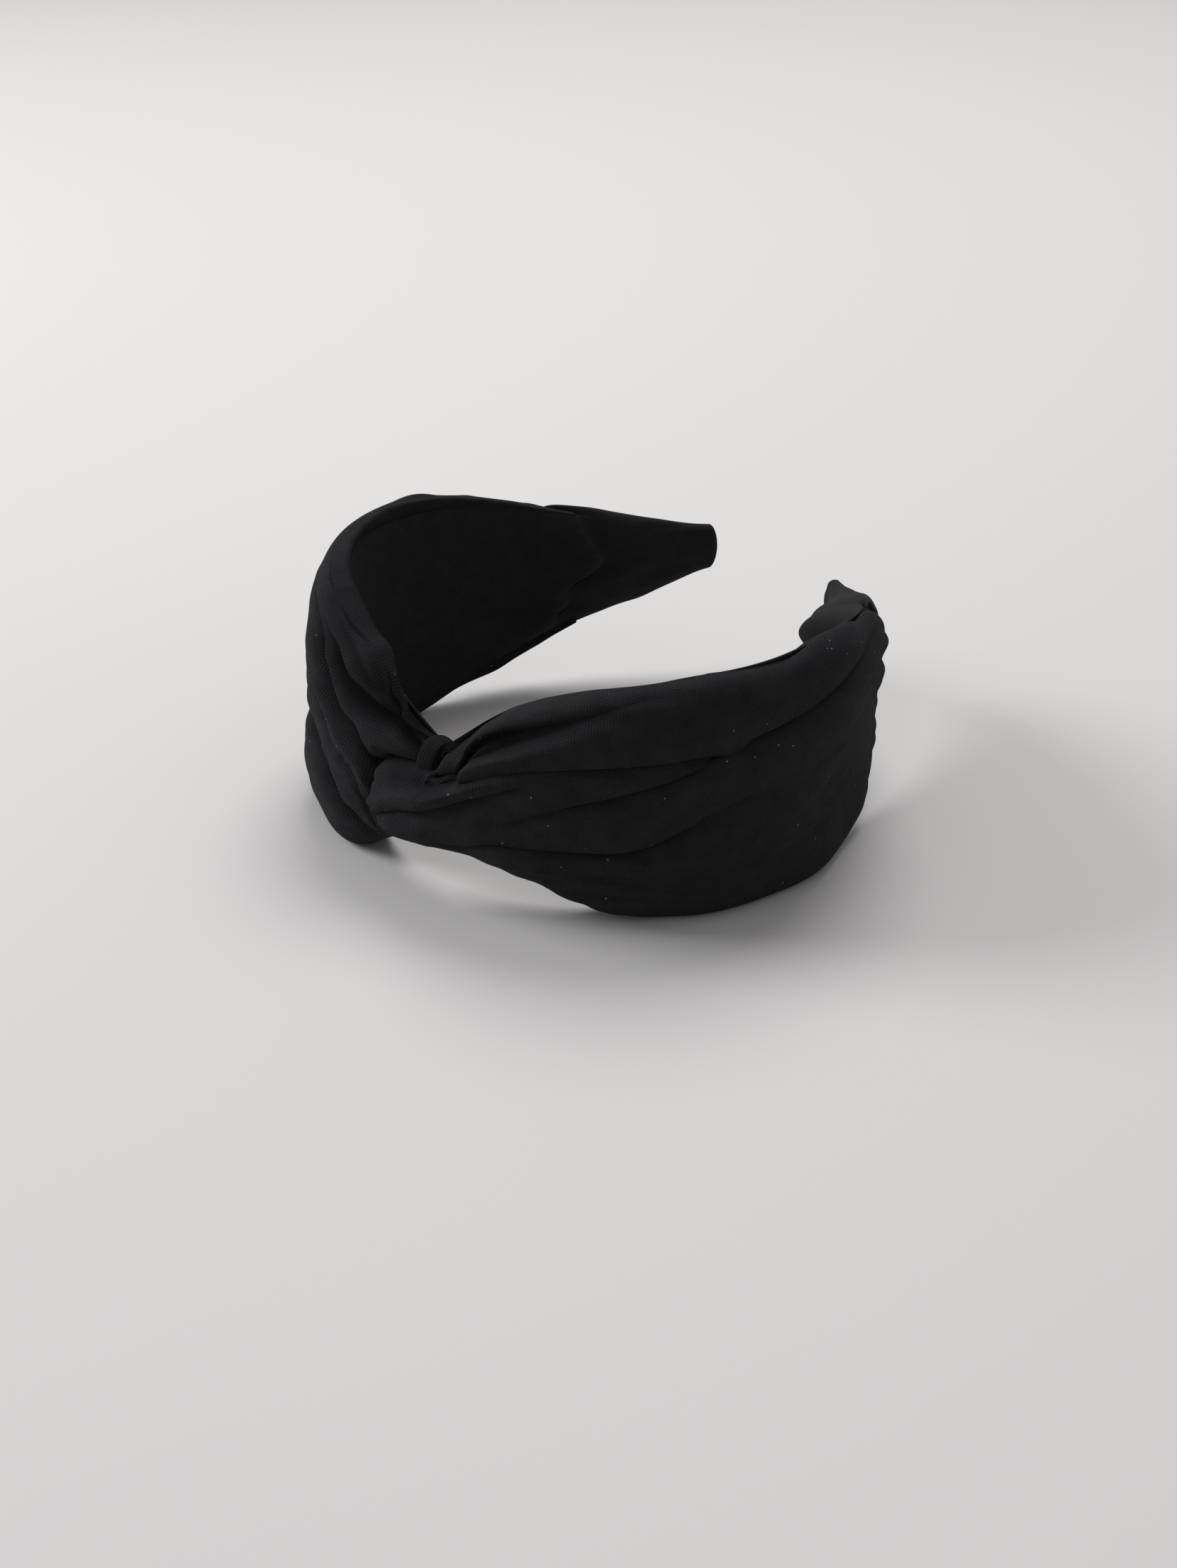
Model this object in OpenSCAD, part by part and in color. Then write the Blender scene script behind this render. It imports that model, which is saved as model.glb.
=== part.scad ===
// Knotted headband lying on its long edge, knot towards -Y, opening towards +Y.
// A springy strip bent into a U carries wadding, a pleated cover in two halves that
// link in a knot, an inner lining and a gathered sleeve over each end.
// Origin: centre of the footprint, on the surface the band lies on. Millimetres, +Z up.

/* [Band] */
// Length of the strip from the knot to one tip
arm_len = 195; // [185:1:200]
// Height of the whole band at the knot
knot_h = 21; // [20:1:28]
// How far the knot's middle lies below the band's middle
knot_drop = 7.5; // [4:0.5:8]
// Height of the whole band where it is widest
wide_h = 61; // [56:1:68]
// Height of the sleeved tip
tip_h = 9.5; // [9:0.5:14]
// How far the left tip's middle lies above the band's middle
left_lift = 5; // [0:0.5:6]
// How far the right tip's middle lies above the band's middle
right_lift = -1.5; // [-2:0.5:6]
// Distance along the strip from the knot to where the band is at its widest
wide_from = 64; // [60:1:72]
// Length of the widest stretch, which the band rests on
wide_len = 26; // [22:1:38]

/* [Strip] */
// Thickness of the springy strip
core_t = 1.8; // [1.4:0.1:2.2]
// Height of the strip as a share of the band's height
core_share = 0.8; // [0.76:0.01:0.88]

/* [Fabric] */
// Thickness of the lining
lining_t = 0.8; // [0.6:0.1:1]
// Thickness of the wadding at the knot
pad_t = 2.2; // [1.6:0.1:2.6]
// Height of the pleats over the wadding at the knot
pleat_t = 5.6; // [4:0.1:6]
// Thickness of the sleeve fabric
sleeve_t = 0.9; // [0.7:0.1:1.2]
// Length of each sleeve
sleeve_len = 48; // [40:1:54]

/* [Knot] */
// Length of the knot along the strip
knot_len = 42; // [38:1:46]
// Width of the turn that wraps over the knot
wrap_w = 23; // [20:1:25]
// How far the wrapped turn stands out from the strip's middle line
wrap_out = 14; // [13:0.5:15]

/* [Hidden] */
$fn = 96;

black = [0.1, 0.1, 0.11];
soft_black = [0.14, 0.14, 0.15];
big = 400;
gap = 0.3;
mid_z = wide_h / 2;
joint_s = knot_len / 2;
sleeve_s = arm_len - sleeve_len;
tip_wall = 1.2;
lining_share = core_share + 0.04;
// The lift of the tip being made; the left half sets its own.
$lift = right_lift;

// The strip's middle line: tangent arcs from the knot to past the tip, [radius, length].
arcs = [[88, 34], [52, 62], [88, 48], [180, 80]];
arc_n = len(arcs);
function arc_s(i) = i == 0 ? 0 : arc_s(i - 1) + arcs[i - 1][1];
function arc_turn(i) = i == 0 ? 0
  : arc_turn(i - 1) + arcs[i - 1][1] / arcs[i - 1][0] * 180 / PI;
function arc_mid(i) = i == 0 ? [0, arcs[0][0]]
  : arc_mid(i - 1) + (arcs[i - 1][0] - arcs[i][0]) * [sin(arc_turn(i)), -cos(arc_turn(i))];
function arc_of(s, i = 0) = i == arc_n - 1 || s < arc_s(i + 1) ? i : arc_of(s, i + 1);
function heading(s, i) = arc_turn(i) + (s - arc_s(i)) / arcs[i][0] * 180 / PI;
function out_dir(a) = [sin(a), -cos(a)];
// A point in plan: s along the strip, o outwards from its middle line.
function at(s, o = 0) = let (i = arc_of(s))
  arc_mid(i) + (arcs[i][0] + o) * out_dir(heading(s, i));

// An offset from the middle line that changes evenly from the knot to the tip.
function offset_at(o, s) = o[0] + (o[1] - o[0]) * s / arm_len;
lining_o = [-core_t / 2 - lining_t, -core_t / 2 - lining_t];
strip_in = [-core_t / 2, -core_t / 2];
strip_out = [core_t / 2, core_t / 2];
pad_o = [core_t / 2 + pad_t, core_t / 2 + 0.5];
cover_o = [pad_o[0] + pleat_t, pad_o[1] + 0.6];
sleeve_in = lining_o - [sleeve_t, sleeve_t];
sleeve_o = pad_o + [sleeve_t, sleeve_t];
function level(o, s) = [offset_at(o, s), offset_at(o, s)];
crown_pad_o = level(pad_o, joint_s);
crown_cover_o = level(cover_o, joint_s);

// The band rises from the knot, stays level, and falls to the tip.
wide_to = wide_from + wide_len;
function rise_at(s) = sin(90 * min(1, abs(s) / wide_from));
function fall_at(s) = pow(cos(90 * max(0, min(1, (s - wide_to) / (arm_len - wide_to)))), 1.4);
function half_h(s) = s < wide_from
  ? knot_h / 2 + (wide_h - knot_h) / 2 * rise_at(s)
  : tip_h / 2 + (wide_h - tip_h) / 2 * fall_at(s);
function shift_at(s) = s < wide_from ? -knot_drop * (1 - rise_at(s)) : $lift * (1 - fall_at(s));
// The rim above (side 1) or below (side -1) the mid height; k scales the band's height.
function rim(s, k, side) = shift_at(s) + side * k * half_h(s);

// The outlines that trim every layer above and below, seen from the front and the side.
module outline_prism(above, below) {
  back = [for (i = [len(below) - 1 : -1 : 0]) below[i]];
  rotate([90, 0, 0]) linear_extrude(2 * big, center = true) polygon(concat(above, back));
}

function front_rim(k, side) =
  let (step = 7,
    half = [for (s = [0 : step : wide_from - 1]) [at(s)[0], rim(s, k, side)]],
    mirrored = [for (i = [len(half) - 1 : -1 : 1]) [-half[i][0], half[i][1]]],
    level = side * k * wide_h / 2,
    x = at(wide_from)[0])
  concat([[-big, level], [-x, level]], mirrored, half, [[x, level], [big, level]]);

function side_rim(k, side) =
  let (step = 7)
  concat([[-big, side * k * wide_h / 2]],
    [for (s = [wide_to : step : arm_len - 1]) [at(s)[1], rim(s, k, side)]],
    [[at(arm_len)[1], rim(arm_len, k, side)], [big, rim(arm_len, k, side)]]);

module trim(k) {
  translate([0, 0, mid_z]) intersection() {
    outline_prism(front_rim(k, 1), front_rim(k, -1));
    rotate([0, 0, 90]) outline_prism(side_rim(k, 1), side_rim(k, -1));
  }
}

// The circle through an arc's two ends, moved out by an offset that may change.
module arc_disc(i, o) {
  r = arcs[i][0];
  p = arc_mid(i) + (r + offset_at(o, arc_s(i))) * out_dir(heading(arc_s(i), i));
  e = arc_s(i) + arcs[i][1];
  q = arc_mid(i) + (r + offset_at(o, e)) * out_dir(heading(e, i));
  rr = r + (offset_at(o, arc_s(i)) + offset_at(o, e)) / 2;
  c = norm(q - p);
  inward = [p[1] - q[1], q[0] - p[0]] / c;
  translate((p + q) / 2 + inward * sqrt(rr * rr - c * c / 4)) circle(rr);
}

// One layer of the right half, s0 to s1 along the strip, between two offsets.
module layer(s0, s1, inner, outer) {
  linear_extrude(wide_h + 10, center = false) for (i = [0 : arc_n - 1]) {
    a = i == 0 ? s0 : max(s0, arc_s(i));
    b = min(s1, arc_s(i) + arcs[i][1]);
    if (b - a > 0.01) difference() {
      intersection() {
        arc_disc(i, outer);
        polygon([for (s = [a - 0.001, (a + b) / 2, b + 0.001])
          arc_mid(i) + 2 * arcs[i][0] * out_dir(heading(s, i)), arc_mid(i)]);
      }
      arc_disc(i, inner);
    }
  }
}

// A layer trimmed to the band's outline.
module band(s0, s1, inner, outer, k) {
  intersection() {
    translate([0, 0, -5]) layer(s0, s1, inner, outer);
    trim(k);
  }
}

module strip_arm() {
  color("dimgray") band(joint_s + gap, arm_len, strip_in, strip_out, core_share);
}

module wadding_arm() {
  color("whitesmoke") band(joint_s + gap, arm_len - 4, strip_out, pad_o, core_share);
}

module lining_arm() {
  color(soft_black) band(joint_s + gap, arm_len, lining_o, strip_in, lining_share);
}

// What the fabric goes round: the strip with its wadding, and the lining.
module filling(s0, s1) {
  band(s0, s1, strip_in, pad_o, core_share);
  band(s0, s1, sleeve_in, strip_in, lining_share);
}

module cover_arm() {
  color(black) difference() {
    band(joint_s + gap, sleeve_s, strip_in - [lining_t, lining_t] * 0.5, cover_o, 1);
    filling(joint_s - 1, sleeve_s + 1);
  }
}

module sleeve_arm() {
  color(soft_black) difference() {
    band(sleeve_s, arm_len + tip_wall, sleeve_in, sleeve_o, 1);
    band(sleeve_s - 1, arm_len, strip_in, strip_out, core_share);
    band(sleeve_s - 1, arm_len - 4, strip_out, pad_o, core_share);
    band(sleeve_s - 1, arm_len, lining_o, strip_in, lining_share);
  }
}

// Short threads that hold down the puckered mouth of the sleeve, on the lining side.
module sleeve_stitches_arm() {
  count = 7;
  reach = 1.3 * half_h(sleeve_s);
  thread = 0.7;
  p = at(sleeve_s - 1.2, lining_o[0] - thread / 2);
  z = mid_z + shift_at(sleeve_s);
  color("black") for (n = [0 : count - 1])
    translate([p[0], p[1], z + reach * (n / (count - 1) - 0.5)])
      cylinder(h = 3, d = thread, center = true);
}

// A row of threads along each rim that joins the lining to the cover's turned edge.
module lining_stitches_arm() {
  pitch = 6;
  thread = 0.6;
  color("black") for (s = [joint_s + 6 : pitch : sleeve_s - 6], side = [-1, 1]) {
    p = at(s, lining_o[0] - thread / 2);
    translate([p[0], p[1], mid_z + rim(s, 0.84, side)])
      rotate([0, 90, heading(s, arc_of(s))]) cylinder(h = 3.4, d = thread, center = true);
  }
}

module strip_crown() {
  color("dimgray") band(-joint_s, joint_s, strip_in, strip_out, core_share);
}

module wadding_crown() {
  color("whitesmoke") band(-joint_s, joint_s, strip_out, crown_pad_o, core_share);
}

module lining_crown() {
  color(soft_black) band(-joint_s, joint_s, lining_o, strip_in, lining_share);
}

// The gathered end of one cover half, beside the wrapped turn.
module knot_fold() {
  color(black) difference() {
    band(wrap_w / 2, joint_s, strip_in, crown_cover_o, 1);
    band(wrap_w / 2 - 1, joint_s + 1, strip_in, crown_pad_o, core_share);
  }
}

// The left half's gathered end, which runs on under the wrapped turn.
strand_o = crown_pad_o + [3.4, 3.4];
strand_share = 0.6;
module knot_fold_under() {
  knot_fold();
  color(black) band(-wrap_w / 2, wrap_w / 2, crown_pad_o, strand_o, strand_share);
}

knot_z = mid_z - knot_drop;
knot_top = mid_z + rim(0, 1, 1);

module knot_wrap() {
  plan_r = 15;
  side_r = 18;
  color(black) difference() {
    intersection() {
      translate([0, plan_r - wrap_out, -5]) cylinder(r = plan_r, h = wide_h + 10);
      translate([0, side_r - wrap_out, knot_z])
        rotate([0, 90, 0]) cylinder(r = side_r, h = wrap_w, center = true);
      band(-wrap_w / 2, wrap_w / 2, strip_in, level([wrap_out, 0], 0), 1);
      translate([-wrap_w, -wrap_w, 0]) cube([2 * wrap_w, 2 * wrap_w, knot_top]);
    }
    band(-wrap_w, wrap_w, strip_in, crown_pad_o, core_share);
    band(-wrap_w, wrap_w, crown_pad_o, strand_o, strand_share);
  }
}

// The loop of the left half that comes up over the top of the strip behind the turn.
module knot_loop() {
  loop_d = 5.4;
  loop_w = 1.5;
  loop_x = 1.5;
  clear = 0.15;
  color(black) translate([loop_x, -1, knot_top + loop_d / 2 + clear]) {
    rotate([0, 90, 0]) cylinder(h = loop_w, d = loop_d, center = true);
    for (x = [-1, 1]) translate([x * loop_w / 2, 0, 0]) sphere(d = loop_d);
  }
}

// Threads that hold the knot down, on the lining side.
module knot_tacks() {
  thread = 0.7;
  color("black") for (x = [-6, -2, 2, 6]) {
    p = at(x, lining_o[0] - thread / 2);
    translate([p[0], p[1], knot_z]) cylinder(h = 5, d = thread, center = true);
  }
}

// Centres the footprint on the origin.
front_y = -wrap_out;
back_y = at(arm_len + tip_wall, offset_at(sleeve_o, arm_len + tip_wall))[1];
module place() {
  translate([0, -(front_y + back_y) / 2, 0]) children();
}

module left() {
  $lift = left_lift;
  place() mirror([1, 0, 0]) children();
}

place() strip_crown();
place() wadding_crown();
place() lining_crown();
place() knot_wrap();
place() knot_loop();
left() knot_fold_under();  // knot_fold_left
place() knot_fold();  // knot_fold_right
place() knot_tacks();
left() strip_arm();  // strip_left
left() wadding_arm();  // wadding_left
left() lining_arm();  // lining_left
left() cover_arm();  // cover_left
left() sleeve_arm();  // sleeve_left
left() sleeve_stitches_arm();  // sleeve_stitches_left
left() lining_stitches_arm();  // lining_stitches_left
place() strip_arm();  // strip_right
place() wadding_arm();  // wadding_right
place() lining_arm();  // lining_right
place() cover_arm();  // cover_right
place() sleeve_arm();  // sleeve_right
place() sleeve_stitches_arm();  // sleeve_stitches_right
place() lining_stitches_arm();  // lining_stitches_right
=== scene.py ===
"""Knotted headband: gathered fabric, lining, sleeves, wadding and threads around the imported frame.

Lengths in this script are millimetres along the band, turned into metres as each mesh is made.
s runs along the springy strip from the knot, positive on the right arm and negative on the left.
v runs across the band, -1 at the lower rim and 1 at the upper rim. o is the offset outwards
from the strip's middle line.
"""
import math

import bpy
import numpy as np
from mathutils import Matrix, Vector


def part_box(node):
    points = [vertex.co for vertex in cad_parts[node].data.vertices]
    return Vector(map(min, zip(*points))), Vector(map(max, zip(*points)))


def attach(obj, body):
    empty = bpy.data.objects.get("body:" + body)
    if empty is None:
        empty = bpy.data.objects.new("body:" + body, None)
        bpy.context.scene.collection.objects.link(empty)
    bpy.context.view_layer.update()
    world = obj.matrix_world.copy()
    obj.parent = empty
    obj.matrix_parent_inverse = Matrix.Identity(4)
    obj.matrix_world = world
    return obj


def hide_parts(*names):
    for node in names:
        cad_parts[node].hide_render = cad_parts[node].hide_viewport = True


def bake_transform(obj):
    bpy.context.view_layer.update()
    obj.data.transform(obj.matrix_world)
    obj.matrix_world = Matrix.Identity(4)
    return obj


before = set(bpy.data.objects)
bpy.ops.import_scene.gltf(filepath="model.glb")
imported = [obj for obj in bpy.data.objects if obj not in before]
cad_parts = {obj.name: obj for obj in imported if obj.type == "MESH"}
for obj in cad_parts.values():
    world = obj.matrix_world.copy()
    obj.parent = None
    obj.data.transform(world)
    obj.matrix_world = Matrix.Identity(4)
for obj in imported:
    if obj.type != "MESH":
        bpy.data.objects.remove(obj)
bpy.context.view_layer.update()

# ---------------------------------------------------------------- the band's own geometry
MM = 0.001
# The length of an arm along the strip, and the strip's thickness.
ARM_LEN = 195.0
CORE_T = 1.8
# Heights of the band at the knot, of the gathered cloth there, of its wide part and of its tips.
KNOT_H, KNOT_DROP = 21.0, 7.5
CLOTH_H, CLOTH_DROP = 26.0, 2.5
WIDE_H, WIDE_FROM, WIDE_TO = 61.0, 64.0, 90.0
TIP_H, LEFT_LIFT, RIGHT_LIFT, TIP_WALL = 9.5, 5.0, -1.5, 1.2
# The strip's height and the lining's, as shares of the band's own height.
CORE_SHARE, LINING_SHARE = 0.8, 0.94
# The strip's arcs from the knot outwards: radius and length of each.
ARCS = ((88.0, 34.0), (52.0, 62.0), (88.0, 48.0), (180.0, 80.0))

Y0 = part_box("strip_crown")[0].y / MM + CORE_T / 2
MID_Z = (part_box("cover_left")[0].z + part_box("cover_left")[1].z) / 2 / MM


def spine(s):
    """The strip's middle line in plan at s, and the angle that its outward direction turns by."""
    a = np.abs(s)
    x, y, turned = np.zeros_like(a), np.zeros_like(a), np.zeros_like(a)
    start, turn, cx, cy = 0.0, 0.0, 0.0, ARCS[0][0]
    for i, (r, length) in enumerate(ARCS):
        here = a >= start
        th = turn + (a - start) / r
        x = np.where(here, cx + r * np.sin(th), x)
        y = np.where(here, cy - r * np.cos(th), y)
        turned = np.where(here, th, turned)
        turn += length / r
        start += length
        if i + 1 < len(ARCS):
            step = r - ARCS[i + 1][0]
            cx += step * math.sin(turn)
            cy -= step * math.cos(turn)
    return x, y, turned


def place(s, o, z):
    """Points in metres, in the row frame. z is measured from the band's mid height."""
    x, y, th = spine(s)
    side = np.where(s < 0, -1.0, 1.0)
    return np.stack([side * (x + o * np.sin(th)), y - o * np.cos(th) + Y0, z + MID_Z], -1) * MM


def rise(s):
    return np.sin(np.pi / 2 * np.clip(np.abs(s) / WIDE_FROM, 0, 1))


def fall(s):
    t = np.clip((np.abs(s) - WIDE_TO) / (ARM_LEN - WIDE_TO), 0, 1)
    return np.cos(np.pi / 2 * t) ** 1.4


def half_h(s):
    near = KNOT_H / 2 + (WIDE_H - KNOT_H) / 2 * rise(s)
    far = TIP_H / 2 + (WIDE_H - TIP_H) / 2 * fall(s)
    return np.where(np.abs(s) < WIDE_FROM, near, far)


def shift(s):
    lift = np.where(s < 0, LEFT_LIFT, RIGHT_LIFT)
    return np.where(np.abs(s) < WIDE_FROM, -KNOT_DROP * (1 - rise(s)), lift * (1 - fall(s)))


def cloth_z(s, v):
    """Height of a line across the gathered cloth, which stands taller than the strip at the knot."""
    near = v * (CLOTH_H / 2 + (WIDE_H - CLOTH_H) / 2 * rise(s)) - CLOTH_DROP * (1 - rise(s))
    return np.where(np.abs(s) < WIDE_FROM, near, shift(s) + v * half_h(s))


# ---------------------------------------------------------------- curves and soft noise
def curve(points):
    """A smooth curve through (x, y) points that doesn't overshoot them. A number is a flat one."""
    if np.isscalar(points):
        return lambda x: np.full_like(np.asarray(x, float), float(points))
    xs, ys = np.array(points, float).T
    d = np.diff(ys) / np.diff(xs)
    m = np.concatenate([[d[0]], np.zeros(len(d) - 1), [d[-1]]])
    same = d[1:] * d[:-1] > 0
    m[1:-1][same] = 2 * (d[1:] * d[:-1])[same] / (d[1:] + d[:-1])[same]

    def f(x):
        x = np.clip(np.asarray(x, float), xs[0], xs[-1])
        i = np.clip(np.searchsorted(xs, x, side="right") - 1, 0, len(xs) - 2)
        w = xs[i + 1] - xs[i]
        t = (x - xs[i]) / w
        return (
            (1 + 2 * t) * (1 - t) ** 2 * ys[i] + t * (1 - t) ** 2 * w * m[i]
            + t * t * (3 - 2 * t) * ys[i + 1] - t * t * (1 - t) * w * m[i + 1]
        )

    return f


def smooth(x, low, high):
    t = np.clip((x - low) / (high - low), 0, 1)
    return t * t * (3 - 2 * t)


def dome(x):
    """0 at x = 0, rising steeply as a quarter circle to 1 at x = 1."""
    return np.sqrt(np.clip(1 - (1 - np.clip(x, 0, 1)) ** 2, 0, 1))


def ripple(a, b, seed, waves=7):
    """Soft noise, about -1 to 1, over two coordinates whose unit is one wave."""
    rng = np.random.default_rng(seed)
    total = 0.0
    for _ in range(waves):
        turn, phase = rng.uniform(0, 2 * np.pi, 2)
        size = rng.uniform(0.6, 1.6)
        total = total + np.sin(2 * np.pi * size * (a * math.cos(turn) + b * math.sin(turn)) + phase)
    return total / math.sqrt(waves)


# ---------------------------------------------------------------- meshes from grids
def grid_faces(rows, cols, wrap=False):
    i, j = np.meshgrid(np.arange(rows - 1), np.arange(cols if wrap else cols - 1), indexing="ij")
    k = (j + 1) % cols
    return np.stack([i * cols + j, (i + 1) * cols + j, (i + 1) * cols + k, i * cols + k], -1).reshape(-1, 4)


def mesh_object(name, points, faces, uv=None):
    """A smooth-shaded mesh of quads, or of triangles where a quad repeats its last corner."""
    me = bpy.data.meshes.new(name)
    quads = [f[:3] if f[2] == f[3] else f for f in faces.tolist()]
    me.from_pydata(points.reshape(-1, 3).tolist(), [], quads)
    if uv is not None:
        layer = me.uv_layers.new(name="UVMap")
        index = np.zeros(len(me.loops), int)
        me.loops.foreach_get("vertex_index", index)
        layer.data.foreach_set("uv", uv.reshape(-1, 2)[index].astype(np.float32).ravel())
    me.shade_smooth()
    me.update()
    ob = bpy.data.objects.new(name, me)
    bpy.context.scene.collection.objects.link(ob)
    return ob


def grid_uv(points, s):
    """Centimetres of cloth: along the band, and across it by the length of each row's path."""
    across = np.cumsum(np.linalg.norm(np.diff(points, axis=1, prepend=points[:, :1]), axis=2), axis=1)
    across -= across[:, across.shape[1] // 2][:, None]
    return np.stack([np.broadcast_to(s, across.shape) / 10, across * 100], -1)


def tube(name, rings, uv=None):
    """A closed tube from rings of points, shut with a fan at each end."""
    n, m = rings.shape[:2]
    ends = np.stack([rings[0].mean(0), rings[-1].mean(0)])
    points = np.concatenate([rings.reshape(-1, 3), ends])
    j = np.arange(m)
    k = (j + 1) % m
    low = np.stack([np.full(m, n * m), j, k, k], -1)
    top = (n - 1) * m
    high = np.stack([np.full(m, n * m + 1), top + k, top + j, top + j], -1)
    faces = np.concatenate([grid_faces(n, m, wrap=True), low, high])
    if uv is not None:
        uv = np.concatenate([uv.reshape(-1, 2), uv[0].mean(0)[None], uv[-1].mean(0)[None]])
    return mesh_object(name, points, faces, uv)


# ---------------------------------------------------------------- folds
class Fold:
    """A valley between two rolls of cloth, along a line of (s, v) points.

    Its depth and the widths of the rolls above and below it are in mm and may change along s.
    lip pushes the upper roll (positive) or the lower roll (negative) over the valley.
    soft is 0 for a crease with a sharp bottom and 1 for an open, rounded valley.
    flat is half the width of the bottom where it is flat, in mm.
    """

    def __init__(self, line, depth, above, below, lip=0.0, soft=0.0, flat=0.0):
        self.line, self.depth = curve(line), curve(depth)
        self.above, self.below = curve(above), curve(below)
        self.lip, self.soft, self.flat = lip, soft, curve(flat)


def folded(s, z, folds):
    """How deep the cloth dips at each point, and how far it is pushed across the band."""
    dip = np.zeros_like(z)
    push = np.zeros_like(z)
    for f in folds:
        x = z - cloth_z(s, f.line(s))
        depth = f.depth(s)
        beyond = np.maximum(np.abs(x) - f.flat(s), 0)
        q = np.clip(beyond / np.where(x > 0, f.above(s), f.below(s)), 0, 1)
        q = np.sqrt(q * q + 0.002)
        valley = (1 - f.soft) * (1 - dome(q)) + f.soft * (1 - np.clip(q, 0, 1) ** 2) ** 2
        dip = np.maximum(dip, depth * valley)
        if f.lip:
            near = np.where(x * f.lip > 0, np.clip(q, 0, 1), 1)
            push -= f.lip * np.clip(depth / 2, 0, 1) * 6.75 * near * (1 - near) ** 2
    return dip, push


def shade(dip, darkest):
    """How much painted shade a dip puts on the cloth, 0 to 1. The painted shade is darkest where the dip
    reaches that many mm.
    """
    return 0.92 * np.clip(dip / darkest, 0, 1) ** 1.2


def ridge(s, z, line, height, width):
    x = z - cloth_z(s, curve(line)(s))
    return curve(height)(s) * np.exp(-((x / width) ** 2))


WRAP = math.radians(130)
ROWS_ACROSS = 270
STEP_ALONG = 0.55


def cover_grid(s_low, s_high):
    s = np.linspace(s_low, s_high, int((s_high - s_low) / STEP_ALONG))[:, None]
    phi = np.linspace(-WRAP, WRAP, ROWS_ACROSS)[None, :]
    return s, phi


class Section:
    """The C-shaped section of a cover half: a full outer face and a soft roll over each rim."""

    def __init__(self, phi, top, low, out, roll_top, roll_low):
        c, sn = np.cos(phi), np.sin(phi)
        power = np.where(sn > 0, 2.6, 3.4)
        half = (top - low) / 2
        self.up = np.sign(sn) * np.abs(sn) ** (2 / power)
        ahead = np.abs(c) ** (2 / power)
        self.z = (top + low) / 2 + half * self.up
        past = np.clip((np.abs(phi) - np.pi / 2) / (WRAP - np.pi / 2), 0, 1)
        tuck = smooth(past, 0.4, 1)
        roll = np.where(sn > 0, roll_top, roll_low)
        flap = -(roll * dome(past / 0.4) * (1 - tuck) + 1.1 * tuck)
        self.o = np.where(c > 0, out * ahead, flap)
        n_o = np.where(c > 0, ahead ** (power - 1) / out, -1.0)
        n_z = np.where(c > 0, np.sign(sn) * np.abs(self.up) ** (power - 1) / half, 0.0)
        length = np.hypot(n_o, n_z)
        self.n_o, self.n_z = n_o / length, n_z / length
        self.free = smooth(np.abs(phi), WRAP, math.radians(84))

    def moved(self, outwards, across):
        """The section's points moved along its own outward direction, and across the band."""
        outwards = outwards * self.free
        upwards = np.where(outwards < 0, 0.25, 1.0) * outwards
        return self.o + self.n_o * outwards, self.z + self.n_z * upwards + across * self.free


# The turn that wraps over the knot: its top edge over s, and its left end over z.
TURN_TOP = curve([(-18, -6), (-16, -2), (-13.5, 0.6), (-11, 1.2), (0, 1.4), (9, 1.6), (13, 1.6)])
TURN_END = curve([
    (-22, -5), (-19.5, -8.5), (-17, -12.5), (-13, -15.8), (-8, -17), (-3.4, -17), (0, -15.6), (2, -13),
])

RIGHT_TOP = curve([
    (-19, -7), (-17, -3), (-14.5, 0.6), (-11, 1.4), (-1, 1.6), (0.2, 2.2), (1.2, 5.2), (2.4, 7.4),
    (4.0, 9.0), (6.2, 10.9), (11.5, 15.1), (18.2, 19.2), (27.4, 23.0), (37.8, 26.0), (47, 27.3),
    (64, 28.9),
])
RIGHT_LOW = curve([
    (-19, -19.0), (-9.5, -18.9), (0, -18.6), (10, -18.3), (16, -19.9), (24, -22.8), (31, -25.4),
    (39, -28.2), (48.6, -30.4), (64, -30.5),
])
LEFT_TOP = curve([
    (-64, 30.5), (-50, 29.2), (-40, 26.8), (-30, 23.9), (-25, 22.0), (-18.3, 16.4), (-14.4, 12.6),
    (-12, 10.8), (-9.7, 9.3), (-6.7, 7.6), (-4, 6.2), (-2, 3), (-0.5, 0), (4, -4),
])
LEFT_LOW = curve([
    (-64, -30.5), (-45, -30.5), (-30, -29.2), (-20, -25.8), (-14, -22.4), (-9.5, -19.8), (4, -18),
])

# The long sharp crease from the knot to the sleeve.
RIGHT_CREASE = Fold(
    line=[
        (2, 0.27), (9, 0.29), (14, 0.38), (25, 0.44), (49, 0.42), (61, 0.44), (75, 0.52),
        (90, 0.61), (103, 0.7), (125, 0.83),
    ],
    depth=[
        (1, 0), (4, 4.5), (9, 5.0), (14, 3.8), (30, 3.0), (50, 3.0), (75, 3.8), (100, 3.2),
        (118, 1.4), (128, 0),
    ],
    above=[(9, 3), (40, 4.5), (100, 4)],
    below=[(9, 3), (20, 5), (40, 6), (75, 9), (100, 8)],
    lip=1.7,
)
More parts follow.
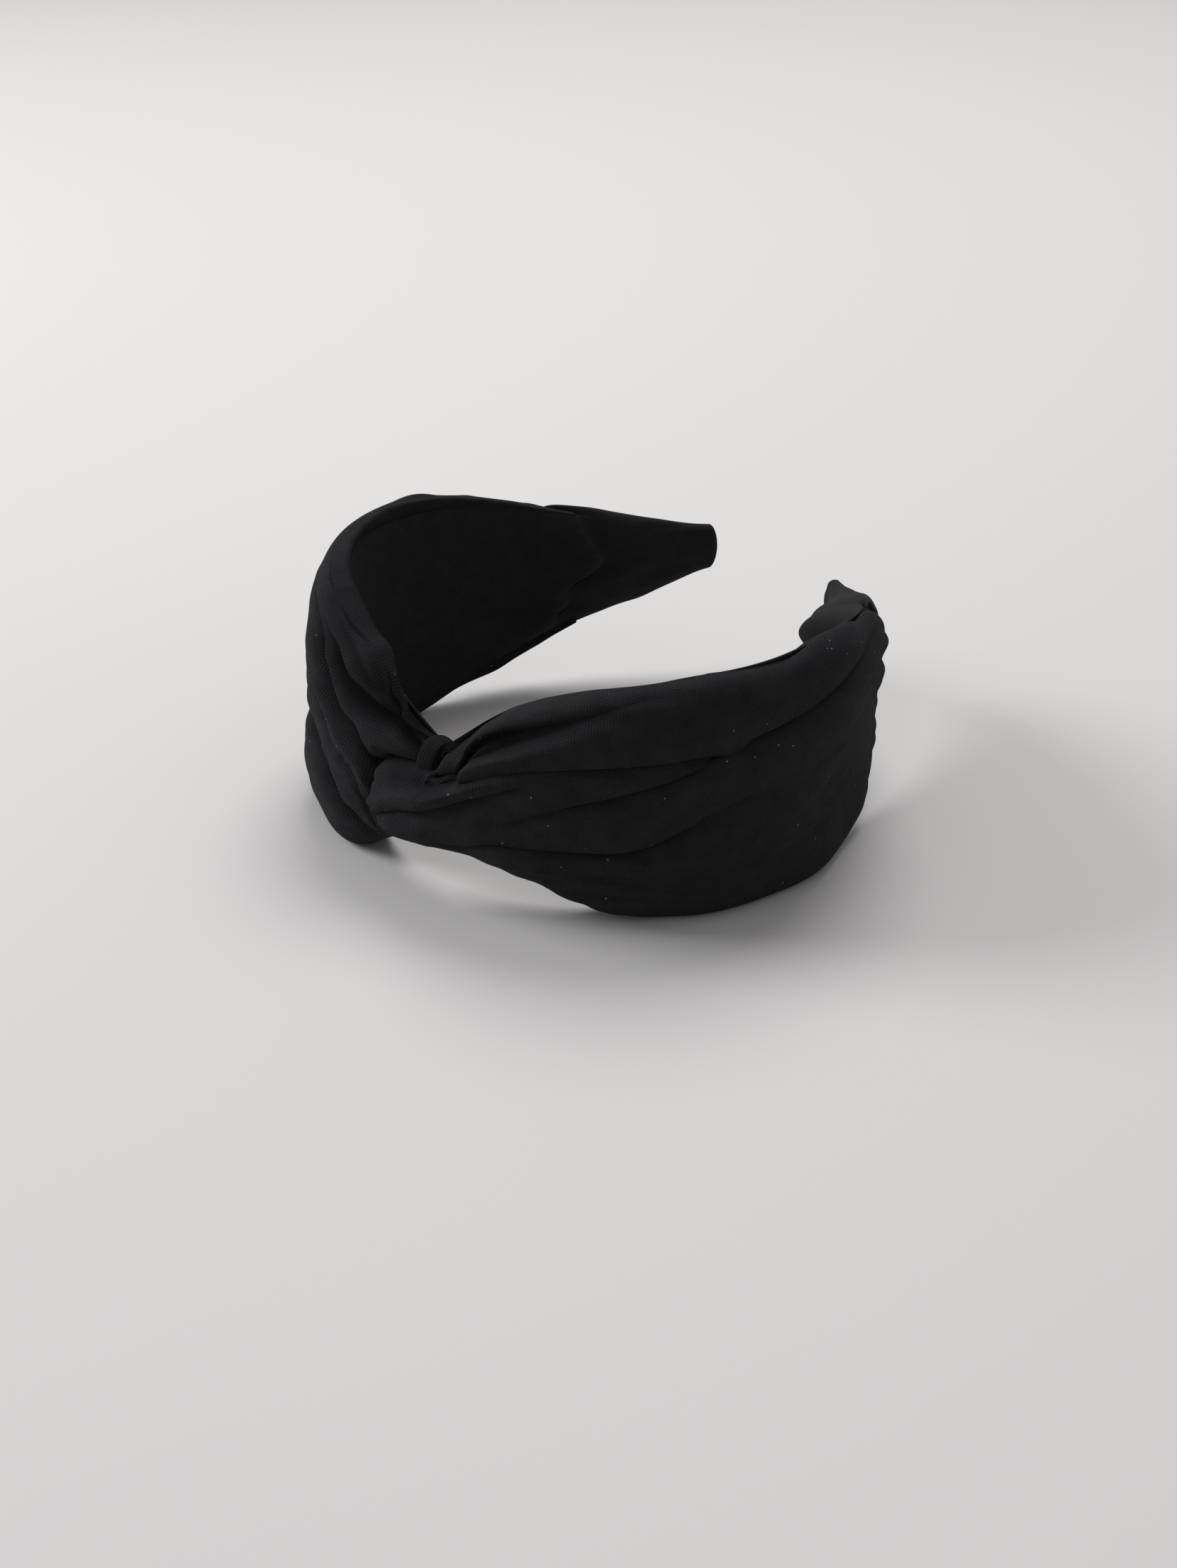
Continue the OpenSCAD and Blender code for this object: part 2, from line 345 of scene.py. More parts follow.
# The deep pocket between the rolled top edge and the tongue under it.
RIGHT_POCKET = Fold(
    line=[
        (4, 0.2), (7.5, 0.3), (8.6, 0.46), (10, 0.6), (12, 0.68), (15, 0.73), (22, 0.77), (30, 0.8),
        (42, 0.87), (58, 0.92),
    ],
    depth=[(3, 0), (5, 3.0), (8, 6.8), (16, 6.4), (22, 5.4), (30, 4.0), (42, 1.8), (58, 0)],
    above=[(5, 2.6), (9, 2.8), (16, 3.0), (30, 3.6), (50, 5)],
    below=[(9, 1.6), (16, 1.8), (24, 3), (50, 8)],
    soft=0.1,
    flat=[(5, 0), (9, 1.3), (15, 1.9), (24, 1.3), (38, 0)],
)
RIGHT_FOLDS = [
    RIGHT_CREASE,
    # The crease that rises to meet it.
    Fold(
        line=[(14, -0.33), (20, -0.18), (29, 0.02), (41, 0.14), (53, 0.27), (61, 0.37), (68, 0.47)],
        depth=[(13, 0), (20, 1.4), (40, 2.8), (55, 3.4), (66, 2.8), (71, 0)],
        above=[(14, 8), (55, 3.5)],
        below=[(14, 11), (55, 6)],
        lip=1.6,
    ),
    # The lower long crease.
    Fold(
        line=[
            (2, -0.8), (9, -0.66), (18, -0.44), (29, -0.4), (41, -0.36), (49, -0.28), (57, -0.15),
            (66, 0.0), (80, 0.1),
        ],
        depth=[(1, 0), (9, 2.8), (30, 3.2), (50, 3.4), (62, 2.4), (74, 0.9), (87, 0)],
        above=[(5, 3.4), (30, 4.5), (60, 6)],
        below=[(5, 4), (30, 6), (60, 10)],
        lip=1.8,
    ),
    RIGHT_POCKET,
    # The crease under the rolled lip of the turn.
    Fold(
        line=[(-17, -0.68), (-7, -0.42), (0, -0.27), (4, -0.13), (11, 0.07), (18, 0.21), (27, 0.33)],
        depth=[(-17, 1.8), (-9, 2.4), (4, 2.6), (14, 2.2), (28, 0)],
        above=[(-14, 2.4), (20, 2.2)],
        below=[(-14, 5), (20, 6)],
        lip=1.1,
    ),
    # Shallow drags across the broad lower part.
    Fold(
        line=[(24, -0.74), (45, -0.62), (70, -0.56), (100, -0.5)],
        depth=[(22, 0), (45, 0.6), (80, 0.5), (105, 0)],
        above=5,
        below=6,
        lip=0.3,
    ),
    Fold(
        line=[(50, -0.16), (70, -0.08), (95, 0.1), (118, 0.3)],
        depth=[(48, 0), (72, 0.5), (100, 0.7), (122, 0)],
        above=6,
        below=8,
    ),
]

# How far the right half's upper rim lies below the strip's own height, past the wide part.
RIGHT_DROP = curve([(64, 1.6), (105, 3.4), (138, 3.4), (149, 1.8)])
# How far the outer face stands out from the strip's middle line.
RIGHT_OUT = curve([
    (-18, 11.6), (-8, 13.4), (0, 13.6), (9, 13.0), (20, 11.6), (40, 9.8), (80, 8.2), (105, 5.8),
    (125, 4.9), (140, 4.0), (149, 3.2),
])
# Each ridge is its line, its height along s and its width. A negative height is a hollow.
RIGHT_RIDGES = (
    # The rolled lip of the turn.
    ([(-16, -0.46), (-7, -0.24), (0, -0.1), (4, 0.03), (9, 0.18), (16, 0.32), (30, 0.42)],
     [(-17, 0.9), (-8, 1.5), (0, 1.9), (12, 2.0), (26, 0.6), (36, 0)], 1.5),
    # The hollow facet above that lip.
    ([(-12, 0.02), (0, 0.13), (8, 0.25)], [(-14, 0), (-6, -1.2), (4, -1.9), (10, 0)], 1.7),
    # Two fine drags across the lower part.
    ([(14, -0.66), (26, -0.56), (43, -0.43), (58, -0.42), (75, -0.4)],
     [(12, 0), (22, 0.9), (45, 0.8), (75, 0)], 1.1),
    ([(16, -0.74), (26, -0.66), (37, -0.67), (50, -0.72), (63, -0.75), (80, -0.72)],
     [(14, 0), (24, 0.9), (50, 0.9), (80, 0)], 1.1),
    # The back of the tongue.
    ([(12, 0.62), (20, 0.6), (30, 0.66), (45, 0.76)], [(9, 0), (13, 0.8), (28, 0.6), (45, 0)], 1.8),
)
# Painted shade in the hollow facet too, which lies in shade.
FACET_SHADE = ([(-12, 0.02), (0, 0.13), (8, 0.25)], [(-14, 0), (-6, 0.4), (4, 0.5), (10, 0)], 1.9)
# The drawn-in valley that runs into the sleeve.
SLEEVE_DRAW = ([(100, 0.62), (125, 0.5), (149, 0.3)], [(104, 0), (128, 0.8), (149, 1.2)], 3.0)
# How far the soft rolls over the upper and the lower rim reach inwards past the strip's middle line.
RIGHT_ROLLS = (2.2, 2.0)
# The outer face never sinks nearer to the strip's middle line than this, so it clears the wadding.
RIGHT_SUNK, LEFT_SUNK = 3.2, 2.8
# Where the turn's cloth begins along the band, and where both covers end inside the sleeves.
TURN_START, COVER_END = -18.5, 156
# The dip that gets the darkest painted shade, in mm.
RIGHT_DARKEST, LEFT_DARKEST = 4.8, 3.8
# The length over which the turn's left end rounds off, and the left cover sinks under the turn.
TURN_ROUND, SINK_OVER = 3.6, 6.0


def near_sleeve(a):
    """1 where the cover is gathered before it goes into the sleeve, at the distance a along the arm."""
    return smooth(a, 112, 138) * (1 - smooth(a, 143, 148))


def right_relief(s, z):
    """Everything that lifts the right cover off its smooth section, apart from the folds."""
    near = 1 - smooth(s, 20, 70)
    lift = sum(ridge(s, z, *shape) for shape in RIGHT_RIDGES)
    lift = lift + 0.35 * ripple(s / 34, z / 13, seed=3)
    lift = lift + (0.1 + 0.14 * near) * ripple(s / 30, z / 4.2, seed=5)
    # Small gathers where the sleeve draws the cover in.
    lift = lift + near_sleeve(s) * 0.4 * ripple(s / 46, z / 4.5, seed=8) - 2.0 * ridge(s, z, *SLEEVE_DRAW)
    # The broad part is fuller towards both rims and flatter just under its middle.
    broad = smooth(s, 78, 98) * (1 - smooth(s, 128, 143))
    contour = 2.9 * smooth(z, 0, 18) - 2.2 * np.exp(-(((z + 10) / 10) ** 2)) + 0.8 * smooth(-z, 20, 28)
    lift = (lift + broad * contour) * (1 - smooth(s, 139, 148))
    # Behind the turn the rolled top edge and the tongue start further back.
    crease = cloth_z(s, RIGHT_CREASE.line(s))
    pocket = cloth_z(s, RIGHT_POCKET.line(s))
    hem_roll = smooth(z, pocket - 1, pocket + 1)
    back = 5.5 * (hem_roll * (1 - smooth(s, 5, 17)) + (1 - hem_roll) * (1 - smooth(s, 7.0, 9.4)))
    return lift - back * smooth(z, crease - 0.6, crease + 0.6) * smooth(s, -0.4, 1.0)


def right_cover():
    s, phi = cover_grid(TURN_START, COVER_END)
    top = np.where(s < WIDE_FROM, RIGHT_TOP(s), cloth_z(s, 1.0) - RIGHT_DROP(s))
    low = np.where(s < WIDE_FROM, RIGHT_LOW(s), cloth_z(s, -1.0))
    out = RIGHT_OUT(s)
    z = Section(phi, top, low, out, *RIGHT_ROLLS).z
    dip, push = folded(s, z, RIGHT_FOLDS)
    lift = right_relief(s, z)
    # The turn's own left end, rounded and puckered.
    apart = s - TURN_END(z) + 0.45 * np.sin(0.62 * z + 1) + 0.4 * np.sin(1.7 * z)
    shown = np.where(s < 0, dome(apart / TURN_ROUND), 1.0)
    shape = Section(phi, top, low, RIGHT_SUNK + (out - RIGHT_SUNK) * shown, *RIGHT_ROLLS)
    o, z = shape.moved(np.maximum(lift - dip, RIGHT_SUNK - out) * shown, push * shown)
    # Painted shade: the colour is darkened in the deep folds and in the hollow facet.
    painted_shade = np.maximum(shade(dip, RIGHT_DARKEST), ridge(s, z, *FACET_SHADE))
    return s, o, z, painted_shade


LEFT_FOLDS = [
    # The deep crease that runs down into the gap beside the turn.
    Fold(
        line=[
            (-80, 0.8), (-60, 0.8), (-45, 0.72), (-34, 0.44), (-28, 0.33), (-22, 0.24), (-18, 0.08),
            (-15, -0.1), (-13.5, -0.5), (-12, -0.95),
        ],
        depth=[(-80, 0), (-62, 1.4), (-45, 4.0), (-30, 6.2), (-18, 6.8), (-12, 6.4)],
        above=[(-60, 9), (-30, 5), (-16, 4)],
        below=[(-60, 5), (-30, 5), (-16, 5)],
        lip=1.0,
        soft=0.3,
    ),
    # The soft dark valley between the two upper rolls.
    Fold(
        line=[
            (-62, 0.98), (-45, 0.86), (-30, 0.66), (-24, 0.62), (-17, 0.62), (-12, 0.62), (-8, 0.56),
            (-3, 0.4), (1, 0.3),
        ],
        depth=[(-62, 0), (-42, 2.6), (-28, 6.4), (-10, 5.4), (0, 3.0)],
        above=[(-40, 6), (-24, 4.4), (-10, 3)],
        below=[(-40, 6), (-24, 4.6), (-10, 3)],
        lip=0.5,
        soft=0.65,
    ),
    # The valley under the roll of the top edge.
    Fold(
        line=[
            (-70, 1.02), (-50, 0.98), (-38, 0.95), (-28, 0.9), (-20, 0.82), (-13, 0.76), (-8, 0.66),
            (-3, 0.5),
        ],
        depth=[(-70, 0), (-50, 2.2), (-20, 3.0), (-3, 2.0)],
        above=[(-40, 5), (-10, 2.4)],
        below=[(-40, 6), (-10, 2.4)],
        lip=0.3,
        soft=0.8,
    ),
    # Rolls that sweep down and meet under the turn.
    Fold(
        line=[(-90, 0.1), (-60, -0.1), (-38, -0.33), (-33, -0.48), (-25, -0.7), (-19, -0.97)],
        depth=[(-90, 0), (-60, 1.8), (-38, 4.0), (-25, 4.4), (-18, 3.0)],
        above=[(-60, 9), (-25, 4.5)],
        below=[(-60, 9), (-25, 5)],
        lip=1.4,
        soft=0.4,
    ),
    Fold(
        line=[(-60, 0.5), (-42, 0.28), (-30, -0.06), (-22, -0.3), (-17, -0.75), (-15, -1.0)],
        depth=[(-60, 0), (-42, 1.0), (-26, 2.2), (-16, 2.4)],
        above=[(-60, 5), (-20, 2.5)],
        below=[(-60, 6), (-20, 3)],
        lip=0.5,
    ),
    Fold(
        line=[(-110, -0.35), (-80, -0.5), (-50, -0.75), (-36, -0.98)],
        depth=[(-110, 0), (-75, 1.3), (-45, 1.8), (-36, 0.6)],
        above=[(-80, 9), (-40, 6)],
        below=[(-80, 8), (-40, 4)],
        lip=0.6,
    ),
]


# How far the left half's upper and lower rims lie outside the strip's own height, past the wide part.
LEFT_RISE = curve([(-149, -0.6), (-135, 0.3), (-100, 2.2), (-64, 0)])
LEFT_HANG = curve([(-149, 1.2), (-139, 1.6), (-118, 0)])
LEFT_OUT = curve([
    (-149, 3.3), (-140, 4.4), (-117, 6.4), (-80, 6.8), (-60, 7.6), (-40, 9.4), (-24, 10.4), (-12, 10.4),
    (-4, 9.0), (4, 6.0),
])
# The same inward reach of the left half's rolls, which is fullest beside the knot at the upper rim.
LEFT_ROLL_TOP = curve([
    (-110, 2.0), (-80, 2.4), (-58, 5.0), (-42, 6.4), (-28, 5.4), (-18, 2.6), (-12, 1.6),
])
LEFT_ROLL_LOW = 2.0
# The long roll that sweeps down to the turn.
LEFT_RIDGE = ([(-50, 0.55), (-38, 0.32), (-29, 0.12), (-22, -0.08), (-16, -0.5), (-13, -0.9)],
              [(-50, 0), (-36, 1.0), (-20, 1.2), (-13, 0.4)], 1.8)


def left_relief(s, z):
    """Everything that lifts the left cover off its smooth section, apart from the folds."""
    near = smooth(s, -70, -20)
    lift = ridge(s, z, *LEFT_RIDGE)
    lift = lift + 0.4 * ripple(s / 34, z / 13, seed=13)
    lift = lift + (0.1 + 0.16 * near) * ripple(s / 26, z / 4.0, seed=15)
    lift = lift + near_sleeve(-s) * 0.5 * ripple(s / 40, z / 4.5, seed=18)
    # The lower part bulges beside the knot.
    lift = lift + 2.0 * smooth(-z, 2, 16) * smooth(s, -80, -52) * (1 - smooth(s, -30, -17))
    return lift * smooth(s, -148, -139)


def left_cover():
    s, phi = cover_grid(-COVER_END, 4)
    top = np.where(s > -WIDE_FROM, LEFT_TOP(s), cloth_z(s, 1.0) + LEFT_RISE(s))
    low = np.where(s > -WIDE_FROM, LEFT_LOW(s), cloth_z(s, -1.0) - LEFT_HANG(s))
    out = LEFT_OUT(s)
    rolls = (LEFT_ROLL_TOP(s), LEFT_ROLL_LOW)
    z = Section(phi, top, low, out, *rolls).z
    dip, push = folded(s, z, LEFT_FOLDS)
    lift = left_relief(s, z)
    # The cloth sinks where the right half's turn lies over it.
    apart = np.maximum(TURN_END(z) + 1.2 - s, z - TURN_TOP(s))
    shown = dome((apart + 0.5) / SINK_OVER)
    shape = Section(phi, top, low, LEFT_SUNK + (out - LEFT_SUNK) * shown, *rolls)
    o, z = shape.moved(np.maximum(lift - dip, LEFT_SUNK - out) * shown, push * shown)
    # Painted shade: the colour is darkened in the deep folds.
    return s, o, z, shade(dip, LEFT_DARKEST)


# ---------------------------------------------------------------- materials
# The wave texture's scale that gives one wave per unit of its coordinates.
WAVE_UNIT = 0.314
# The colour sockets of a mix node: its two inputs and its result.
MIX_FROM, MIX_TO, MIX_RESULT = 6, 7, 2


def node(tree, kind, at, **settings):
    n = tree.nodes.new(kind)
    n.location = at
    for key, value in settings.items():
        setattr(n, key, value)
    return n


def fabric(name, dark, light, rib, twill, bump, sheen, lint=0.0):
    """Matte cloth: ribs across the band, a fine twill, a peached nap, uneven tone, specks of lint and painted
    shade in deep folds.

    rib and twill are the widths of one rib and of one twill line, in mm. lint is the specks' brightness.
    """
    mat = bpy.data.materials.new(name)
    mat.use_nodes = True
    tree = mat.node_tree
    link = tree.links.new
    shader = tree.nodes["Principled BSDF"]
    shader.inputs["Sheen Weight"].default_value = sheen
    shader.inputs["Sheen Roughness"].default_value = 0.45
    shader.inputs["Sheen Tint"].default_value = (0.72, 0.76, 0.84, 1)
    shader.inputs["Specular IOR Level"].default_value = 0.06
    uv = node(tree, "ShaderNodeUVMap", (-1500, 0), uv_map="UVMap")
    wander = node(tree, "ShaderNodeTexNoise", (-1300, -300))
    wander.inputs["Scale"].default_value = 2.2
    wander.inputs["Detail"].default_value = 4
    link(uv.outputs["UV"], wander.inputs["Vector"])
    ribs = node(tree, "ShaderNodeTexWave", (-1100, 200), wave_type="BANDS", bands_direction="X")
    ribs.inputs["Scale"].default_value = WAVE_UNIT / rib * 10
    ribs.inputs["Distortion"].default_value = 1.2
    ribs.inputs["Detail"].default_value = 1
    ribs.inputs["Detail Scale"].default_value = 2.0
    link(uv.outputs["UV"], ribs.inputs["Vector"])
    slant = node(tree, "ShaderNodeMapping", (-1300, 0))
    slant.inputs["Rotation"].default_value = (0, 0, math.radians(38))
    link(uv.outputs["UV"], slant.inputs["Vector"])
    lines = node(tree, "ShaderNodeTexWave", (-1100, -50), wave_type="BANDS", bands_direction="X")
    lines.inputs["Scale"].default_value = WAVE_UNIT / twill * 10
    lines.inputs["Distortion"].default_value = 2.0
    lines.inputs["Detail"].default_value = 1
    link(slant.outputs["Vector"], lines.inputs["Vector"])
    nap = node(tree, "ShaderNodeTexNoise", (-1100, -350))
    nap.inputs["Scale"].default_value = 26
    nap.inputs["Detail"].default_value = 5
    nap.inputs["Roughness"].default_value = 0.7
    link(uv.outputs["UV"], nap.inputs["Vector"])
    weave = node(tree, "ShaderNodeMath", (-850, 100), operation="ADD")
    link(ribs.outputs["Fac"], weave.inputs[0])
    link(lines.outputs["Fac"], weave.inputs[1])
    height = node(tree, "ShaderNodeMath", (-650, 50), operation="MULTIPLY_ADD")
    link(nap.outputs["Fac"], height.inputs[0])
    height.inputs[1].default_value = 2.2
    link(weave.outputs["Value"], height.inputs[2])
    bumps = node(tree, "ShaderNodeBump", (-400, -200))
    bumps.inputs["Strength"].default_value = bump
    bumps.inputs["Distance"].default_value = 0.00017
    link(height.outputs["Value"], bumps.inputs["Height"])
    link(bumps.outputs["Normal"], shader.inputs["Normal"])
    tone = node(tree, "ShaderNodeMath", (-650, 350), operation="MULTIPLY_ADD")
    link(wander.outputs["Fac"], tone.inputs[0])
    tone.inputs[1].default_value = 0.7
    link(nap.outputs["Fac"], tone.inputs[2])
    ramp = node(tree, "ShaderNodeValToRGB", (-450, 350))
    ramp.color_ramp.elements[0].position = 0.45
    ramp.color_ramp.elements[0].color = (*dark, 1)
    ramp.color_ramp.elements[1].position = 1.0
    ramp.color_ramp.elements[1].color = (*light, 1)
    link(tone.outputs["Value"], ramp.inputs["Fac"])
    colour = ramp.outputs["Color"]
    if lint:
        specks = node(tree, "ShaderNodeTexVoronoi", (-850, 650), feature="F1")
        specks.inputs["Scale"].default_value = 2.2
        specks.inputs["Randomness"].default_value = 1
        link(uv.outputs["UV"], specks.inputs["Vector"])
        dots = node(tree, "ShaderNodeMath", (-650, 650), operation="LESS_THAN")
        dots.inputs[1].default_value = 0.05
        link(specks.outputs["Distance"], dots.inputs[0])
        fuzz = node(tree, "ShaderNodeMix", (-200, 450), data_type="RGBA")
        fuzz.inputs[MIX_TO].default_value = (lint, lint, lint, 1)
        link(dots.outputs["Value"], fuzz.inputs["Factor"])
        link(colour, fuzz.inputs[MIX_FROM])
        colour = fuzz.outputs[MIX_RESULT]
    # Painted shade: the colour is darkened towards near black in deep folds, by the amount stored on each
    # point. Pieces without that attribute read it as 0.
    fold_shade = node(tree, "ShaderNodeAttribute", (-450, 700), attribute_name="fold_shade")
    deep = node(tree, "ShaderNodeMix", (0, 450), data_type="RGBA")
    deep.inputs[MIX_TO].default_value = (0.001, 0.001, 0.001, 1)
    link(fold_shade.outputs["Fac"], deep.inputs["Factor"])
    link(colour, deep.inputs[MIX_FROM])
    link(deep.outputs[MIX_RESULT], shader.inputs["Base Color"])
    rough = node(tree, "ShaderNodeMapRange", (-450, 50))
    rough.inputs["To Min"].default_value = 0.82
    rough.inputs["To Max"].default_value = 0.96
    link(nap.outputs["Fac"], rough.inputs["Value"])
    link(rough.outputs["Result"], shader.inputs["Roughness"])
    return mat


def plain_material(name, colour, roughness, scale, bump):
    """Plastic or thread: fine grain in object space."""
    mat = bpy.data.materials.new(name)
    mat.use_nodes = True
    tree = mat.node_tree
    link = tree.links.new
    shader = tree.nodes["Principled BSDF"]
    coords = node(tree, "ShaderNodeTexCoord", (-1000, 0))
    grain = node(tree, "ShaderNodeTexNoise", (-800, 0))
    grain.inputs["Scale"].default_value = scale
    grain.inputs["Detail"].default_value = 6
    link(coords.outputs["Object"], grain.inputs["Vector"])
    ramp = node(tree, "ShaderNodeValToRGB", (-500, 200))
    ramp.color_ramp.elements[0].color = (*[c * 0.8 for c in colour], 1)
    ramp.color_ramp.elements[1].color = (*[min(1, c * 1.2) for c in colour], 1)
    link(grain.outputs["Fac"], ramp.inputs["Fac"])
    link(ramp.outputs["Color"], shader.inputs["Base Color"])
    rough = node(tree, "ShaderNodeMapRange", (-500, -50))
    rough.inputs["To Min"].default_value = roughness - 0.08
    rough.inputs["To Max"].default_value = roughness + 0.08
    link(grain.outputs["Fac"], rough.inputs["Value"])
    link(rough.outputs["Result"], shader.inputs["Roughness"])
    bumps = node(tree, "ShaderNodeBump", (-300, -250))
    bumps.inputs["Strength"].default_value = bump
    bumps.inputs["Distance"].default_value = 0.0001
    link(grain.outputs["Fac"], bumps.inputs["Height"])
    link(bumps.outputs["Normal"], shader.inputs["Normal"])
    return mat


COVER = fabric(
    "cover_cloth", dark=(0.0102, 0.0099, 0.0107), light=(0.025, 0.024, 0.026),
    rib=0.62, twill=0.5, bump=1.0, sheen=0.035, lint=0.2)
LINING = fabric(
    "lining_cloth", dark=(0.0125, 0.0117, 0.0121), light=(0.022, 0.021, 0.0216),
    rib=0.8, twill=0.42, bump=0.35, sheen=0.025)
WADDING = fabric(
    "wadding_fibre", dark=(0.55, 0.55, 0.53), light=(0.85, 0.85, 0.83),
    rib=2.6, twill=1.9, bump=1.0, sheen=0.2)
THREAD = plain_material("sewing_thread", (0.007, 0.0068, 0.007), roughness=0.7, scale=2500, bump=0.6)
PLASTIC = plain_material("strip_plastic", (0.035, 0.035, 0.036), roughness=0.5, scale=900, bump=0.15)


def dress(ob, material):
    ob.data.materials.clear()
    ob.data.materials.append(material)
    return ob


def paint_shade(ob, amounts):
    """Store how much painted shade each point's cloth gets, for the fabric material to read."""
    layer = ob.data.attributes.new("fold_shade", "FLOAT", "POINT")
    layer.data.foreach_set("value", np.asarray(amounts, np.float32).ravel())


# The ends of the stretch along the arm where the cloth would turn from the crown, and how far outside the
# strip they are measured.
BEND_FROM, BEND_TO, BEND_OUT = 10.0, 44.0, 2.0


def bend(ob, arm):
    """Bake the object's placement into its mesh. The ends of the stretch where cloth would turn from the
    crown to an arm are worked out, but nothing uses them.
    """
    side = -1 if arm == "left_arm" else 1
    s_a, s_b = side * np.array([BEND_FROM]), side * np.array([BEND_TO])
    start = Vector(place(s_a, np.array([BEND_OUT]), np.array([0.0]))[0])
    end = Vector(place(s_b, np.array([BEND_OUT]), np.array([0.0]))[0])
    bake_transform(ob)


# ---------------------------------------------------------------- the two cover halves
# The covers never come nearer to the floor than this.
FLOOR_GAP = 0.05


def make_cover(name, build, arm, nodes):
    s, o, z, fold_shade = build()
    s = np.broadcast_to(s, o.shape)
    z = np.maximum(z, FLOOR_GAP - MID_Z)
    points = place(s, o, z)
    uv = grid_uv(points, s[:, :1])
    ob = mesh_object(name, points, grid_faces(*points.shape[:2]), uv)
    # The painted shade of the deep folds is stored on the mesh for the cloth material.
    paint_shade(ob, fold_shade)
    dress(ob, COVER)
    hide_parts(*nodes)
    bend(ob, arm)
    return ob


cover_right = make_cover("cover_fabric_right", right_cover, "right_arm",
                         ["cover_right", "knot_fold_right", "knot_wrap"])
cover_left = make_cover("cover_fabric_left", left_cover, "left_arm", ["cover_left", "knot_fold_left"])


# ---------------------------------------------------------------- the loop behind the turn
def superellipse(angle, half_a, half_b, power):
    c, sn = np.cos(angle), np.sin(angle)
    return half_a * np.sign(c) * np.abs(c) ** (2 / power), half_b * np.sign(sn) * np.abs(sn) ** (2 / power)


# The loop lies in the shade of the turn, so all of it gets painted shade.
LOOP_SHADE = 0.45


def make_loop():
    """The left half's pleat that comes up from behind the turn and goes back over the top rim."""
    t = np.linspace(0, 1, 60)[:, None]
    around = np.linspace(0, 2 * np.pi, 49)[:-1][None, :]
    z_path = curve([(0, -5), (0.35, 1.6), (0.6, 5.2), (0.8, 4.4), (1, 0.5)])(t)
    o_path = curve([(0, 5.4), (0.35, 5.2), (0.6, 2.2), (0.8, -1.4), (1, -2.4)])(t)
    dz, do = np.gradient(z_path[:, 0]), np.gradient(o_path[:, 0])
    size = np.hypot(dz, do)
    wide = curve([(0, 2.6), (0.5, 2.5), (1, 2.4)])(t)
    thick = curve([(0, 1.6), (0.3, 2.0), (0.7, 1.7), (1, 0.7)])(t)
    across, out = superellipse(around, 1.0, 1.0, 2.3)
    pleat = 0.25 * np.sin(3 * around + 2 * t) * np.sin(np.pi * t)
    s = across * wide - 2.5
    shift_out = out * thick + pleat
    o = o_path + shift_out * (dz / size)[:, None]
    z = z_path - shift_out * (do / size)[:, None]
    points = place(s, o, z)
    uv = np.stack([s / 10, np.broadcast_to(t * 3, s.shape)], -1)
    ob = tube("knot_loop_fabric", points, uv)
    paint_shade(ob, np.full(len(ob.data.vertices), LOOP_SHADE))
    dress(ob, COVER)
    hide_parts("knot_loop")
    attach(ob, "crown")
    return ob


loop = make_loop()


# ---------------------------------------------------------------- lining, sleeves and wadding
def shell(name, outer, inner, uv):
    """A thin closed sheet from two matching grids of points."""
    n, m = outer.shape[:2]
    points = np.concatenate([outer.reshape(-1, 3), inner.reshape(-1, 3)])
    front = grid_faces(n, m)
    back = grid_faces(n, m)[:, ::-1] + n * m
    i, j = np.arange(n - 1), np.arange(m - 1)
    low = np.stack([i * m, i * m + n * m, (i + 1) * m + n * m, (i + 1) * m], -1)
    edge = i * m + m - 1
    high = np.stack([edge, edge + m, edge + m + n * m, edge + n * m], -1)
    first = np.stack([j, j + 1, j + 1 + n * m, j + n * m], -1)
    end = (n - 1) * m
    last = np.stack([end + j, end + j + n * m, end + j + 1 + n * m, end + j + 1], -1)
    faces = np.concatenate([front, back, low, high, first, last])
    return mesh_object(name, points, faces, np.concatenate([uv.reshape(-1, 2)] * 2))


# Where the sleeve's mouth lies on the lining side, over the band's height.
MOUTH = curve([
    (-1, 147), (-0.78, 148), (-0.7, 151), (-0.45, 150.5), (-0.3, 153.5), (-0.2, 158), (0.1, 161.5),
    (0.56, 158), (1, 154),
])
# How far the loose inner ply of each sleeve pouches inwards.
POUCH = {"left_arm": 1.0, "right_arm": 12.0}
# How far each loose sleeve hangs below the strip. A fifth of it is also slack past the tip.
SLEEVE_SAG = {"left_arm": 3.1, "right_arm": 0.6}
# The lining runs this far into the sleeve, and is this thick.
LINING_END, LINING_T = 168, 0.7


def pouch(s, v, arm):
    """How far the loose inner ply bulges inwards at each place."""
    along = np.exp(-(((np.abs(s) - 160) / 17) ** 2))
    return POUCH[arm] * along * np.exp(-(((v - 0.5) / 0.8) ** 2)) * np.clip(1 - v ** 8, 0, 1)


def lining_o(s, v, arm):
    """The offset of the lining's inner face."""
    a = np.abs(s)
    # A soft quilted face, with one slanting crease near the sleeve and a swell beside its mouth.
    puff = 0.5 * dome(4 * (1 - np.abs(v))) + 0.22 * ripple(s / 44, v * half_h(s) / 15, seed=21) * (1 - v ** 4)
    crease = np.exp(-(((v + 0.33 + 0.0165 * (a - 125)) * half_h(s) / 2.0) ** 2))
    puff = puff - 0.9 * crease * smooth(a, 108, 140)
    ahead = MOUTH(v) - a
    swell = np.where(ahead > 0, np.exp(-((ahead / 9) ** 2)), np.exp(-((ahead / 3.0) ** 2)) * 1.5 - 0.5)
    puff = puff + 2.3 * swell * (1 - v ** 6) * (0.75 + 0.25 * np.sin(5 * v + 0.6))
    return -CORE_T / 2 - 0.75 - np.maximum(puff + pouch(s, v, arm), -0.4)


def lining_z(s, v):
    """Height across the lining, whose top reaches up behind the cover's raised rim beside the knot."""
    z = v * half_h(s) * LINING_SHARE + shift(s)
    raised = np.maximum(RIGHT_TOP(s) - 3.0 - half_h(s) * LINING_SHARE - shift(s), 0)
    return z + raised * smooth(v, 0, 1) * smooth(s, 1, 6) * (1 - smooth(s, 36, 50))


